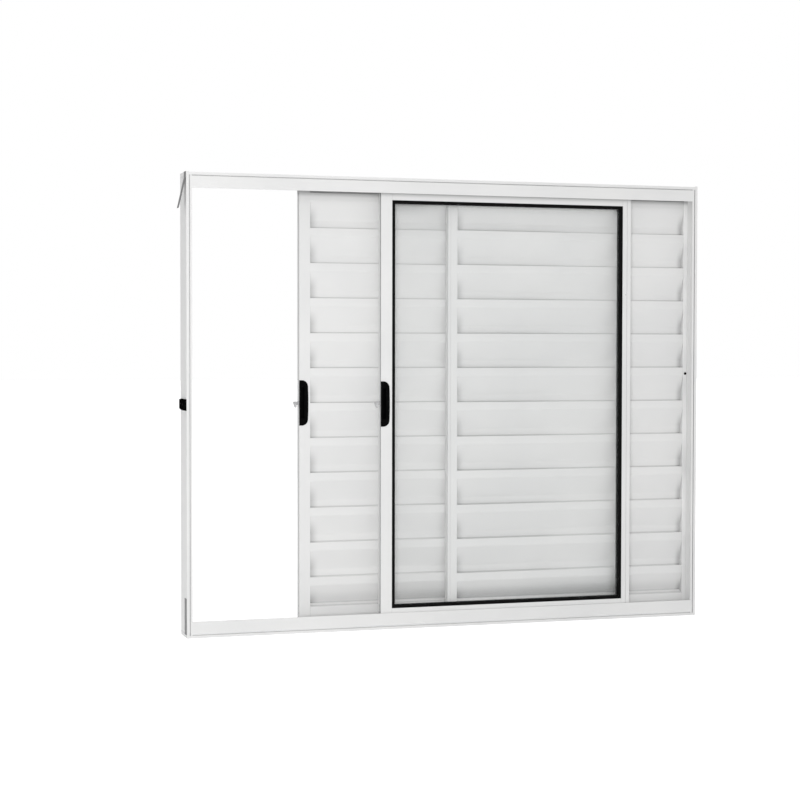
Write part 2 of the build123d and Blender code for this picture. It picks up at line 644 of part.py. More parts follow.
# Packers that carry the fixed leaf on its rib.
with BuildPart() as fixed_packers:
    for centre_x in (FIXED_X + CARRIAGE_INSET, FIXED_X + LEAF_WIDTH - CARRIAGE_INSET):
        with Locations(
            (centre_x, Y_FRONT + FIXED_D + LEAF_THICK / 2, (RIB_TOP + RAIL_CHANNEL_TOP) / 2)
        ):
            Box(CARRIAGE_LENGTH, CARRIAGE_DEPTH, RAIL_CHANNEL_TOP - RIB_TOP)

# Stop button on the fixed leaf's right stile.
with BuildPart() as stop_button:
    with Locations((X_LEFT + FIXED_LEAF_RIGHT - BUTTON_INSET, Y_FRONT + FIXED_D - BUTTON_PROUD / 2, BUTTON_Z)):
        Cylinder(BUTTON_RADIUS, BUTTON_PROUD, rotation=(90, 0, 0))


# Fixings on the jambs' outer sides

# Keeper housing: a box against the left jamb's web that tapers outward.
with BuildPart() as keeper_box:
    keeper_mid = Y_FRONT + (KEEPER_FRONT + KEEPER_BACK) / 2
    with BuildSketch(Plane.YZ.offset(X_LEFT)):
        with Locations((keeper_mid, KEEPER_Z)):
            Rectangle(KEEPER_BACK - KEEPER_FRONT, KEEPER_HEIGHT)
    with BuildSketch(Plane.YZ.offset(X_LEFT - KEEPER_PROUD)):
        with Locations((keeper_mid, KEEPER_Z + (KEEPER_FOOT_TAPER - KEEPER_TOP_TAPER) / 2)):
            Rectangle(
                KEEPER_BACK - KEEPER_FRONT - 2 * KEEPER_END_TAPER,
                KEEPER_HEIGHT - KEEPER_TOP_TAPER - KEEPER_FOOT_TAPER,
            )
    loft()

# Anchor straps: three lie flat, the upper left one is swung out.
straps = {}
for strap_name, strap_z, strap_side in (
    ("lower_left", STRAP_INSET, -1),
    ("lower_right", STRAP_INSET, 1),
    ("upper_right", FRAME_HEIGHT - STRAP_INSET - STRAP_LENGTH, 1),
):
    with BuildPart() as strap:
        outer = strap_side * (FRAME_WIDTH / 2 + STRAP_THICK)
        inner_face = strap_side * FRAME_WIDTH / 2
        box_between(
            min(outer, inner_face),
            max(outer, inner_face),
            STRAP_DEPTH,
            STRAP_DEPTH + STRAP_WIDTH,
            strap_z,
            strap_z + STRAP_LENGTH,
        )
    straps[strap_name] = strap

with BuildPart() as strap_swung:
    with BuildSketch(Plane.XZ.offset(-(Y_FRONT + STRAP_DEPTH))):
        with BuildLine():
            Polyline(
                (X_LEFT, FRAME_HEIGHT),
                (X_LEFT, FRAME_HEIGHT - STRAP_SEAT),
                (X_LEFT - STRAP_SWING, FRAME_HEIGHT - STRAP_LENGTH),
                (X_LEFT - STRAP_SWING - STRAP_THICK, FRAME_HEIGHT - STRAP_LENGTH + 0.25),
                (X_LEFT - STRAP_THICK, FRAME_HEIGHT - STRAP_SEAT),
                (X_LEFT - STRAP_THICK, FRAME_HEIGHT),
                close=True,
            )
        make_face()
    extrude(amount=-STRAP_WIDTH)
straps["upper_left"] = strap_swung


# Names and files

pieces = {
    "left_jamb": left_jamb,
    "right_jamb": right_jamb,
    "head": head,
    "sill": sill,
    "latch_keeper_box": keeper_box,
    "anchor_strap_upper_left": straps["upper_left"],
    "anchor_strap_lower_left": straps["lower_left"],
    "anchor_strap_upper_right": straps["upper_right"],
    "anchor_strap_lower_right": straps["lower_right"],
    "glass_sash_left_stile": sash_left_stile,
    "glass_sash_right_stile": sash_right_stile,
    "glass_sash_top_rail": sash_top_rail,
    "glass_sash_bottom_rail": sash_bottom_rail,
    "glass_pane": glass_pane,
    "glazing_gasket": glazing_gasket,
    "glass_sash_latch": latches["sash"][0],
    "glass_sash_latch_hook": latches["sash"][1],
    "glass_sash_rollers": gear["sash"],
    "sliding_leaf_left_stile": sliding_left_stile,
    "sliding_leaf_right_stile": sliding_right_stile,
    "sliding_leaf_slats": louvred["sliding"][0],
    "sliding_leaf_bottom_rail": louvred["sliding"][1],
    "sliding_leaf_top_rail": louvred["sliding"][2],
    "sliding_leaf_latch": latches["sliding"][0],
    "sliding_leaf_latch_hook": latches["sliding"][1],
    "sliding_leaf_rollers": gear["sliding"],
    "fixed_leaf_left_stile": fixed_left_stile,
    "fixed_leaf_right_stile": fixed_right_stile,
    "fixed_leaf_slats": louvred["fixed"][0],
    "fixed_leaf_bottom_rail": louvred["fixed"][1],
    "fixed_leaf_top_rail": louvred["fixed"][2],
    "fixed_leaf_packers": fixed_packers,
    "fixed_leaf_stop_button": stop_button,
}
for piece_name, piece in pieces.items():
    piece.part.label = piece_name
    export_step(piece.part, "parts/" + piece_name + ".step")
    print(piece_name, round(piece.part.volume / 1000, 2), "cm3", len(piece.part.solids()), "solids")
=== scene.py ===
import bpy
import json
import math
from mathutils import Matrix, Vector

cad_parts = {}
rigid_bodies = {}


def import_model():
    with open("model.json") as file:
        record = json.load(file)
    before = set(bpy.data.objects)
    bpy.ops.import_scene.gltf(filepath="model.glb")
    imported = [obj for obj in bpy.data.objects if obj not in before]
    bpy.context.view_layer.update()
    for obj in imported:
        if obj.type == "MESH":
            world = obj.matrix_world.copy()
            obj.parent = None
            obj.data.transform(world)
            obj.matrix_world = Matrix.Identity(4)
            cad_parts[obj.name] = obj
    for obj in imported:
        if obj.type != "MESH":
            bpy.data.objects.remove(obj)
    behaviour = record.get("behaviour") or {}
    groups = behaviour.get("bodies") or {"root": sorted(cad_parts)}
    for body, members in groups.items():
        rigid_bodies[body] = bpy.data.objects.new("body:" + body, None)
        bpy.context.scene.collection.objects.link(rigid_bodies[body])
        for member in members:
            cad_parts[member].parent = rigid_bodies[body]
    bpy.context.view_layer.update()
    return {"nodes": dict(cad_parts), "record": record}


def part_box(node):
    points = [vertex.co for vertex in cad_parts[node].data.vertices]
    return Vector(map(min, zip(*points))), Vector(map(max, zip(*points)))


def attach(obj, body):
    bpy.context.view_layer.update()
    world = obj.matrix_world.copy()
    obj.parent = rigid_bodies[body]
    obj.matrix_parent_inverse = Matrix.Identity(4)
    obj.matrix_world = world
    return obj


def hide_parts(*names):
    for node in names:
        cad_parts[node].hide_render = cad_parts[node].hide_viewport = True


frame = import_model()

MM = 0.001


# Shader maths and node building


class Value:
    """A shader socket that takes part in arithmetic."""

    def __init__(self, shader, socket):
        self.shader = shader
        self.socket = socket

    def _math(self, operation, first, second):
        return self.shader.node("ShaderNodeMath", {"operation": operation}, {0: first, 1: second})

    def __add__(self, other):
        return self._math("ADD", self, other)

    __radd__ = __add__

    def __sub__(self, other):
        return self._math("SUBTRACT", self, other)

    def __rsub__(self, other):
        return self._math("SUBTRACT", other, self)

    def __mul__(self, other):
        return self._math("MULTIPLY", self, other)

    __rmul__ = __mul__

    def __truediv__(self, other):
        return self._math("DIVIDE", self, other)

    def __gt__(self, other):
        return self._math("GREATER_THAN", self, other)

    def __lt__(self, other):
        return self._math("LESS_THAN", self, other)

    def abs(self):
        return self._math("ABSOLUTE", self, 0.0)

    def clamp(self):
        """Kept between 0 and 1."""
        limits = {"Value": self, "From Min": 0.0, "From Max": 1.0, "To Min": 0.0, "To Max": 1.0}
        return self.shader.node("ShaderNodeMapRange", {"clamp": True}, limits)

    def ramp(self, low, high, to_low=0.0, to_high=1.0):
        """Maps low..high smoothly to to_low..to_high."""
        limits = {
            "Value": self,
            "From Min": low,
            "From Max": high,
            "To Min": to_low,
            "To Max": to_high,
        }
        return self.shader.node("ShaderNodeMapRange", {"interpolation_type": "SMOOTHSTEP"}, limits)

    def fade(self, low, high):
        """1 up to low, falling smoothly to 0 at high."""
        return self.ramp(low, high, 1.0, 0.0)


class Shader:
    """One material's node tree."""

    def __init__(self, name, owner=None):
        """Starts a new material's tree, or the tree of the owner, such as the world."""
        self.material = owner or bpy.data.materials.new(name)
        self.material.use_nodes = True
        self.tree = self.material.node_tree
        self.tree.nodes.clear()

    def node(self, kind, settings=None, sockets=None, output=0):
        """Adds a node, its settings before its sockets' values or links, and gives one output."""
        made = self.tree.nodes.new(kind)
        for name, value in (settings or {}).items():
            setattr(made, name, value)
        for name, value in (sockets or {}).items():
            if isinstance(value, Value):
                self.tree.links.new(value.socket, made.inputs[name])
            else:
                made.inputs[name].default_value = value
        return Value(self, made.outputs[output]) if len(made.outputs) else made

    def place(self, scale=(1.0, 1.0, 1.0)):
        """Object coordinates in metres, stretched by scale."""
        coordinates = self.node("ShaderNodeTexCoord", output="Object")
        return self.node("ShaderNodeMapping", {}, {"Vector": coordinates, "Scale": scale})

    def along(self, axis):
        """One object coordinate in metres."""
        coordinates = self.node("ShaderNodeTexCoord", output="Object")
        return self.node("ShaderNodeSeparateXYZ", {}, {0: coordinates}, output=axis)

    def facing(self, axis):
        """One part of the surface's outward direction."""
        direction = self.node("ShaderNodeNewGeometry", output="Normal")
        return self.node("ShaderNodeSeparateXYZ", {}, {0: direction}, output=axis)

    def noise(self, scale, detail, stretch=(1.0, 1.0, 1.0)):
        """Soft noise around 0.5, finer as scale grows."""
        sockets = {"Vector": self.place(stretch), "Scale": scale, "Detail": detail}
        return self.node("ShaderNodeTexNoise", {}, sockets, output="Fac")

    def mix(self, share, first, second):
        """The first colour, with a share of the second."""
        sockets = {0: share, 6: first, 7: second}
        return self.node("ShaderNodeMix", {"data_type": "RGBA"}, sockets, output=2)

    def crease(self, reach):
        """How deep a spot lies in a corner, for painted shade there: 0 in the open."""
        open_share = self.node(
            "ShaderNodeAmbientOcclusion", {"samples": 8}, {"Distance": reach}, output="AO"
        )
        return 1.0 - open_share

    def bump(self, height, strength, distance):
        sockets = {"Height": height, "Strength": strength, "Distance": distance}
        return self.node("ShaderNodeBump", {}, sockets, output="Normal")

    def finish(self, **sockets):
        """Ends the tree in a Principled shader with these sockets."""
        named = {name.replace("_", " "): value for name, value in sockets.items()}
        surface = self.node("ShaderNodeBsdfPrincipled", {}, named)
        self.node("ShaderNodeOutputMaterial", {}, {"Surface": surface})
        return self.material


def rgb(red, green, blue):
    return (red, green, blue, 1.0)


# Finishes of the window's own pieces

COAT_WHITE = rgb(0.805, 0.805, 0.800)
COAT_SHADE = rgb(0.770, 0.772, 0.770)
DUST = rgb(0.47, 0.44, 0.39)
BARE_ALUMINIUM = rgb(0.62, 0.63, 0.64)
# the grey that painted shade mixes into the coats and slats
PAINTED_SHADE_GREY = rgb(0.24, 0.24, 0.245)
PLAIN_WHITE = rgb(1.0, 1.0, 1.0)

# Painted shade, a dark rail line and wear: how far they reach from edges, corners and lips
LEFT_END_SHADE_REACH = 24 * MM
RIGHT_END_SHADE_REACH = 14 * MM
FOOT_SHADE_REACH = 3.5 * MM
RAIL_SOFT_SHADE_REACH = 30 * MM
RAIL_SHADE_LINE_REACH = 3 * MM
HEAD_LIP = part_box("head")[0].z
LIP_SOFT_SHADE_REACH = 30 * MM
LIP_SHADE_REACH = 10 * MM
LIP_OVERLAP = 2 * MM
STILE_FRONT_MARGIN = 1 * MM
STILE_EDGE_REACH = (6 * MM, 10 * MM)
CREASE_REACH = 4 * MM
SEAM_HALF_WIDTH = 1 * MM
WORN_HEIGHT = 1.2 * MM
STILE_SIDE_REACH = 25 * MM

# How much of a coat's colour the painted shade, the dark rail line and the dust take, 1 being their
# colour alone
LIP_SOFT_SHADE = 0.09
LIP_SHADE = 0.6
STILE_SIDE_SHADE = 0.5
SEAM_DARKENING = 0.3
RAIL_SOFT_SHADE = 0.24
RAIL_SHADE_LINE = 0.25
LEFT_END_SHADE = 0.42
RIGHT_END_SHADE = 0.5
FOOT_SHADE = 0.4
SLAT_DUST = 0.16

# The pane, and how much of its edge the gasket covers
PANE_LOW, PANE_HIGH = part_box("glass_pane")
GASKET_COVER = 15.6 * MM

# Louvre slats: how the leaves' twelve slats are set out
SLAT_COUNT = 12
SLAT_HEIGHT_OVER_PITCH = 5 * MM
SLAT_UPPER = 18 * MM
SLAT_LOWER = 21.3 * MM
SLAT_SHEET = 1.2 * MM
SLAT_HEM = 3 * MM
SLAT_BEND = 1.2 * MM
SLAT_ROWS = 130
SLAT_COLUMNS = 3
SLAT_WELD = 0.02 * MM
RAIL_CREST = 57 * MM
LAST_SLAT_SHOWN = 58.5 * MM
SLATS_LOW, SLATS_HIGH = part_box("sliding_leaf_slats")
SLAT_PITCH = (SLATS_HIGH.z - RAIL_CREST - LAST_SLAT_SHOWN) / (SLAT_COUNT - 1)
SLAT_HEIGHT = SLAT_PITCH + SLAT_HEIGHT_OVER_PITCH


def shade_under_lip(shader):
    """Painted shadow on the leaves just under the head's lip."""
    height = shader.along("Z")
    soft_shade = height.ramp(HEAD_LIP - LIP_SOFT_SHADE_REACH, HEAD_LIP, 0.0, LIP_SOFT_SHADE)
    return soft_shade + height.ramp(HEAD_LIP - LIP_SHADE_REACH, HEAD_LIP + LIP_OVERLAP, 0.0, LIP_SHADE)


# the leading stiles, and how dark the shade painted along the front of their edges is
LEADING_STILES = (("glass_sash_left_stile", 0.85), ("sliding_leaf_left_stile", 0.5))


def shaded_stile_fronts(shader):
    """Painted shade along the front part of the leading stiles' edges."""
    deep = shader.along("Y")
    bands = 0.0
    for stile, share in LEADING_STILES:
        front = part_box(stile)[0].y
        band = (deep - front).ramp(*STILE_EDGE_REACH, share, 0.0)
        bands = bands + (deep > front - STILE_FRONT_MARGIN) * band
    return bands


def powder_coat(
    name, worn_from=None, dust_share=0.10, crease_share=0.6, leaf=False, white=COAT_WHITE, seam=None
):
    """White powder coat with a fine orange peel.

    From the height worn_from up, the rollers rub it bare. Creases get painted shade; a leaf's coat
    also has it on its left-facing sides and under the head's lip; seam is the height of a dark line
    along a rail.
    """
    shader = Shader(name)
    cloud = shader.noise(scale=5.0, detail=3.0)
    peel = shader.noise(scale=950.0, detail=1.0)
    grime = shader.noise(scale=42.0, detail=5.0)
    upward = shader.facing("Z").ramp(0.6, 0.95)
    dust = (upward * grime.ramp(0.42, 0.72) * dust_share).clamp()
    colour = shader.mix(cloud.ramp(0.35, 0.7), white, COAT_SHADE)
    # painted shade in creases and grooves, by how closed in each spot is
    shade_and_seam = shader.crease(CREASE_REACH).ramp(0.35, 0.9, 0.0, crease_share)
    if leaf:
        # painted shade: the leaves' left-facing sides darker, most beside nearby parts and along the
        # leading stiles' fronts
        faces_left = (shader.facing("X") * -1.0).ramp(0.6, 0.95)
        beside = shader.crease(STILE_SIDE_REACH).ramp(0.05, 0.55, 0.0, STILE_SIDE_SHADE)
        shade_and_seam = shade_and_seam + faces_left * beside
        shade_and_seam = shade_and_seam + faces_left * shaded_stile_fronts(shader)
        shade_and_seam = (shade_and_seam + shade_under_lip(shader)).clamp()
    if seam is not None:
        # a darker line along the rail at the seam height
        shade_and_seam = shade_and_seam + SEAM_DARKENING * ((shader.along("Z") - seam).abs() < SEAM_HALF_WIDTH)
    colour = shader.mix(shade_and_seam, colour, PAINTED_SHADE_GREY)
    colour = shader.mix(dust, colour, DUST)
    roughness = 0.36 + 0.1 * grime + 0.3 * dust
    metal = 0.0
    if worn_from is not None:
        scratch = shader.noise(scale=60.0, detail=4.0, stretch=(0.12, 9.0, 1.0))
        worn = (shader.along("Z") > worn_from) * (shader.along("Z") < worn_from + WORN_HEIGHT)
        worn = worn * scratch.ramp(0.34, 0.52)
        colour = shader.mix(worn, colour, BARE_ALUMINIUM)
        roughness = roughness - 0.12 * worn
        metal = worn
    return shader.finish(
        Base_Color=colour,
        Roughness=roughness,
        Metallic=metal,
        Normal=shader.bump(peel, strength=0.12, distance=0.05 * MM),
        IOR=1.5,
    )


def slat_coat(name, low, high, pitch):
    """Coated strip of the slats: faint rolling lines, and painted shade at their ends and feet,
    above the rail and under the head's lip.
    """
    shader = Shader(name)
    across = shader.along("X")
    recess = ((shader.along("Y") - low.y) / (high.y - low.y)).ramp(0.12, 0.92)
    # painted shade where the slats recede beside the stiles and just above the next slat
    near_left = (across - low.x).fade(0.0, LEFT_END_SHADE_REACH)
    near_right = (high.x - across).fade(0.0, RIGHT_END_SHADE_REACH)
    along_slat = shader.node(
        "ShaderNodeMath", {"operation": "FRACT"}, {0: (high.z - shader.along("Z")) / pitch}
    )
    foot = along_slat.ramp(1.0 - FOOT_SHADE_REACH / pitch, 1.0)
    corner = recess * (near_left * LEFT_END_SHADE + near_right * RIGHT_END_SHADE)
    corner = corner + recess * foot * FOOT_SHADE
    # painted shade on the slats just above the rail, doubled behind the pane
    behind_pane = (across > PANE_LOW.x) * (across < PANE_HIGH.x)
    above_rail = shader.along("Z") - RAIL_CREST
    on_rail = above_rail.ramp(0.0, RAIL_SOFT_SHADE_REACH, RAIL_SOFT_SHADE, 0.0) * (1.0 + behind_pane)
    on_rail = on_rail + above_rail.ramp(0.0, RAIL_SHADE_LINE_REACH, RAIL_SHADE_LINE, 0.0)
    corner = (corner + on_rail + shade_under_lip(shader)).clamp()
    cloud = shader.noise(scale=4.0, detail=3.0)
    rolling = shader.noise(scale=260.0, detail=3.0, stretch=(0.02, 1.0, 1.0))
    peel = shader.noise(scale=1200.0, detail=1.0)
    grime = shader.noise(scale=36.0, detail=5.0)
    upward = shader.facing("Z").ramp(0.55, 0.95)
    dust = (upward * grime.ramp(0.4, 0.7) * SLAT_DUST).clamp()
    colour = shader.mix(cloud.ramp(0.35, 0.7), COAT_WHITE, COAT_SHADE)
    colour = shader.mix(corner, colour, PAINTED_SHADE_GREY)
    colour = shader.mix(dust, colour, DUST)
    return shader.finish(
        Base_Color=colour,
        Roughness=0.32 + 0.1 * rolling + 0.3 * dust,
        Normal=shader.bump(rolling * 0.6 + peel * 0.4, strength=0.10, distance=0.05 * MM),
        IOR=1.5,
    )


def moulded_plastic(name, base, light, roughness, specular):
    """Moulded plastic with a fine spark-eroded grain."""
    shader = Shader(name)
    grain = shader.noise(scale=2600.0, detail=1.0)
    handling = shader.noise(scale=70.0, detail=4.0)
    return shader.finish(
        Base_Color=shader.mix(handling.ramp(0.35, 0.75), base, light),
        Roughness=roughness + 0.16 * handling,
        Normal=shader.bump(grain, strength=0.25, distance=0.04 * MM),
        Specular_IOR_Level=specular,
        IOR=1.49,
    )


def seal_rubber(name):
    """Black extruded rubber with a dull bloom."""
    shader = Shader(name)
    bloom = shader.noise(scale=55.0, detail=5.0)
    skin = shader.noise(scale=1500.0, detail=2.0)
    black, dull_black = rgb(0.002, 0.002, 0.002), rgb(0.006, 0.006, 0.006)
    return shader.finish(
        Base_Color=shader.mix(bloom.ramp(0.4, 0.8), black, dull_black),
        Roughness=0.55 + 0.25 * bloom,
        Normal=shader.bump(skin, strength=0.2, distance=0.06 * MM),
        Specular_IOR_Level=0.06,
        IOR=1.5,
    )


def zinc_plate(name, dull, bright):
    """Zinc plated steel with a faint spangle."""
    shader = Shader(name)
    spangle = shader.node(
        "ShaderNodeTexVoronoi",
        {"feature": "F1"},
        {"Vector": shader.place(), "Scale": 240.0},
        output="Distance",
    )
    cloud = shader.noise(scale=90.0, detail=4.0)
    rub = shader.noise(scale=500.0, detail=2.0, stretch=(1.0, 1.0, 0.1))
    return shader.finish(
        Base_Color=shader.mix(cloud.ramp(0.3, 0.7), dull, bright),
        Metallic=1.0,
        Roughness=0.40 + 0.12 * cloud + 0.06 * spangle,
        Normal=shader.bump(rub, strength=0.12, distance=0.05 * MM),
    )


def screw_steel(name):
    """Passivated steel of the small screws."""
    shader = Shader(name)
    turning = shader.noise(scale=900.0, detail=2.0)
    return shader.finish(
        Base_Color=shader.mix(turning, rgb(0.52, 0.52, 0.53), rgb(0.66, 0.66, 0.67)),
        Metallic=1.0,
        Roughness=0.28 + 0.14 * turning,
    )


def pile_fibre(name):
    """Grey siliconed pile of the brush seals."""
    shader = Shader(name)
    tuft = shader.noise(scale=700.0, detail=3.0)
    return shader.finish(
        Base_Color=shader.mix(tuft, rgb(0.12, 0.12, 0.125), rgb(0.24, 0.24, 0.25)),
        Roughness=0.8 + 0.15 * tuft,
        Normal=shader.bump(tuft, strength=0.5, distance=0.2 * MM),
    )


# Painted shade on the pane: its opacity, and each edge that it lies along, with where it starts to
# fade and where it ends, measured inwards from the gasket
PANE_WIDTH = PANE_HIGH.x - PANE_LOW.x
PANE_SHADE = (
    (0.11, ("foot", 6 * MM, 48 * MM), ("right", 0.0, 0.7 * PANE_WIDTH)),
    (0.12, ("right", 0.0, 30 * MM), ("foot", 8 * MM, 110 * MM)),
    (0.14, ("top", 0.0, 7 * MM)),
    (0.05, ("top", 0.0, 22 * MM)),
    (0.05, ("right", 0.0, 16 * MM)),
    (0.15, ("top", 0.0, 22 * MM), ("right", 0.0, 16 * MM)),
    (0.10, ("top", 0.0, 36 * MM), ("left", 30 * MM, 120 * MM)),
)


def float_glass(name):
    """Clear pane, which darkens what is behind it a little, with painted shade along its edges."""
    shader = Shader(name)
    smear = shader.noise(scale=9.0, detail=5.0)
    inwards = {
        "foot": shader.along("Z") - PANE_LOW.z - GASKET_COVER,
        "top": PANE_HIGH.z - GASKET_COVER - shader.along("Z"),
        "left": shader.along("X") - PANE_LOW.x - GASKET_COVER,
        "right": PANE_HIGH.x - GASKET_COVER - shader.along("X"),
    }
    # painted shade along the pane's edges beside the gasket
    edge_shade = 0.0
    for opacity, *edges in PANE_SHADE:
        for edge, fade_start, fade_end in edges:
            opacity = opacity * inwards[edge].fade(fade_start, fade_end)
        edge_shade = edge_shade + opacity
    return shader.finish(
        Base_Color=shader.mix((edge_shade * 4.0).clamp(), rgb(0.72, 0.76, 0.75), rgb(0.16, 0.16, 0.16)),
        Roughness=0.02 + 0.05 * smear.ramp(0.5, 0.9),
        Alpha=0.04 + 0.02 * smear + edge_shade,
        IOR=1.52,
    )


finishes = {
    "powder_white": powder_coat("white powder coat"),
    "black_plastic": moulded_plastic(
        "black moulded plastic",
        rgb(0.001, 0.001, 0.001),
        rgb(0.003, 0.003, 0.003),
        roughness=0.46,
        specular=0.02,
    ),
    "grey_nylon": moulded_plastic(
        "grey nylon",
        rgb(0.30, 0.30, 0.31),
        rgb(0.40, 0.40, 0.41),
        roughness=0.45,
        specular=0.4,
    ),
    "zinc_steel": zinc_plate("zinc plated steel", rgb(0.42, 0.42, 0.43), rgb(0.52, 0.52, 0.53)),
    "black_rubber": seal_rubber("black glazing rubber"),
    "clear_glass": float_glass("clear float glass"),
}

# finishes of single pieces
SILL_RIB_TOP = 8.5 * MM
RAIL_SEAM = RAIL_CREST - 5 * MM
sill_coat = powder_coat(
    "white powder coat of the sill", worn_from=SILL_RIB_TOP, dust_share=0.34, crease_share=0.25
)
# the leaves' coats carry painted shade on their left-facing sides and under the head's lip
leaf_coat = powder_coat("white powder coat of the leaves", leaf=True)
louvre_rail_coat = powder_coat("white powder coat of the louvres' rails", leaf=True, seam=RAIL_SEAM)
# painted light: the fixed leaf's right stile gets a whiter coat than the rest, lifting it out of the
# jamb's shade, and no painted crease shade
lightened_stile_coat = powder_coat(
    "white powder coat beside the jamb", crease_share=0.0, leaf=True, white=rgb(0.94, 0.94, 0.935)
)
screw_finish = screw_steel("passivated screw steel")
pile_finish = pile_fibre("grey pile")
strap_finish = zinc_plate(
    "weathered strap steel", rgb(0.11, 0.11, 0.112), rgb(0.17, 0.17, 0.172)
)
keeper_finish = moulded_plastic(
    "matt black keeper",
    rgb(0.002, 0.002, 0.002),
    rgb(0.006, 0.006, 0.006),
    roughness=0.6,
    specular=0.0,
)
hook_finish = zinc_plate("hook steel", rgb(0.31, 0.31, 0.315), rgb(0.44, 0.44, 0.445))

own_finishes = {
    "sliding_leaf_slats": slat_coat("sliding leaf slat coat", SLATS_LOW, SLATS_HIGH, SLAT_PITCH),
    "fixed_leaf_slats": slat_coat("fixed leaf slat coat", *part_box("fixed_leaf_slats"), SLAT_PITCH),
    "sill": sill_coat,
    "latch_keeper_box": keeper_finish,
    "glass_sash_latch_hook": hook_finish,
    "sliding_leaf_latch_hook": hook_finish,
}
for part in frame["record"]["subparts"]:
    node_name = part["node"]
    if node_name.startswith("anchor_strap"):
        own_finishes[node_name] = strap_finish
    if node_name.endswith(("_stile", "_rail")):
        own_finishes[node_name] = leaf_coat
    if node_name.endswith("leaf_bottom_rail"):
        own_finishes[node_name] = louvre_rail_coat
    if node_name == "fixed_leaf_right_stile":
        own_finishes[node_name] = lightened_stile_coat
    shown = frame["nodes"][node_name]
    shown.data.materials.clear()
    shown.data.materials.append(own_finishes.get(node_name) or finishes[part["material_slot"]])


# Geometry node building


class Geometry:
    """One geometry node tree, with named inputs for its sizes."""

    def __init__(self, name):
        self.tree = bpy.data.node_groups.new(name, "GeometryNodeTree")
        sockets = self.tree.interface
        sockets.new_socket("Geometry", in_out="OUTPUT", socket_type="NodeSocketGeometry")
        sockets.new_socket("Geometry", in_out="INPUT", socket_type="NodeSocketGeometry")
        self.ids = {}

    def size(self, name, kind="NodeSocketFloat"):
        """Adds a named input."""
        socket = self.tree.interface.new_socket(name, in_out="INPUT", socket_type=kind)
        self.ids[name] = socket.identifier

    def start(self):
        """Ends the list of inputs and gives the carrier's mesh."""
        self.inputs = self.tree.nodes.new("NodeGroupInput")
        return self.inputs.outputs["Geometry"]

    def given(self, name):
        return self.inputs.outputs[name]

    def node(self, kind, settings=None, sockets=None, output=0):
        """Adds a node as a Shader does."""
        made = self.tree.nodes.new(kind)
        for name, value in (settings or {}).items():
            setattr(made, name, value)
        for name, value in (sockets or {}).items():
            if isinstance(value, bpy.types.NodeSocket):
                self.tree.links.new(value, made.inputs[name])
            else:
                made.inputs[name].default_value = value
        return made.outputs[output]

    def maths(self, operation, first, second, third=None):
        sockets = {0: first, 1: second}
        if third is not None:
            sockets[2] = third
        return self.node("ShaderNodeMath", {"operation": operation}, sockets)

    def vector(self, x=0.0, y=0.0, z=0.0):
        return self.node("ShaderNodeCombineXYZ", {}, {0: x, 1: y, 2: z})

    def join(self, first, second):
        """Both geometries as one."""
        joined = self.tree.nodes.new("GeometryNodeJoinGeometry")
        self.tree.links.new(first, joined.inputs[0])
        self.tree.links.new(second, joined.inputs[0])
        return joined.outputs[0]

    def end(self, geometry):
        """Ends the tree in real meshes with the finish set, because instances aren't exported."""
        real = self.node("GeometryNodeRealizeInstances", {}, {0: geometry})
        paint = {"Geometry": real, "Material": self.given("Finish")}
        painted = self.node("GeometryNodeSetMaterial", {}, paint)
        last = self.tree.nodes.new("NodeGroupOutput")
        self.tree.links.new(painted, last.inputs[0])

    def make(self, name, carrier, slot_name, finish, **sizes):
        """Runs the tree on a carrier mesh and keeps the result as a plain mesh on the body."""
        holder = bpy.data.objects.new(name + "_carrier", carrier)
        bpy.context.scene.collection.objects.link(holder)
        modifier = holder.modifiers.new("shape", "NODES")
        modifier.node_group = self.tree
        modifier[self.ids["Finish"]] = finish
        for size_name, value in sizes.items():
            modifier[self.ids[size_name.replace("_", " ")]] = value
        bpy.context.view_layer.update()
        graph = bpy.context.evaluated_depsgraph_get()
        mesh = bpy.data.meshes.new_from_object(holder.evaluated_get(graph))
        mesh.name = name
        bpy.data.objects.remove(holder)
        piece = bpy.data.objects.new(name, mesh)
        bpy.context.scene.collection.objects.link(piece)
        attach(piece, "root")
        return piece


def mesh_of(name, points, faces=()):
    mesh = bpy.data.meshes.new(name)
    mesh.from_pydata([Vector(point) for point in points], [], list(faces))
    return mesh


SHARP_ANGLE = math.radians(32)


def smooth_faces(piece):
    """Round faces shade smoothly and edges past the angle stay crisp."""
    piece.data.shade_smooth()
    piece.data.set_sharp_from_angle(angle=SHARP_ANGLE)


# Louvre slats: one sheet bent to an S, repeated down the leaf to the rail's crest

slats = Geometry("louvre slats")
slats.size("Finish", "NodeSocketMaterial")
slats.size("Count", "NodeSocketInt")
slats.size("First Corner", "NodeSocketVector")
for size_name in ("Width", "Pitch", "Height", "Last Height", "Upper", "Slope", "Sweep"):
    slats.size(size_name)
for size_name in ("Hem", "Bend", "Sheet"):
    slats.size(size_name)
slats.start()


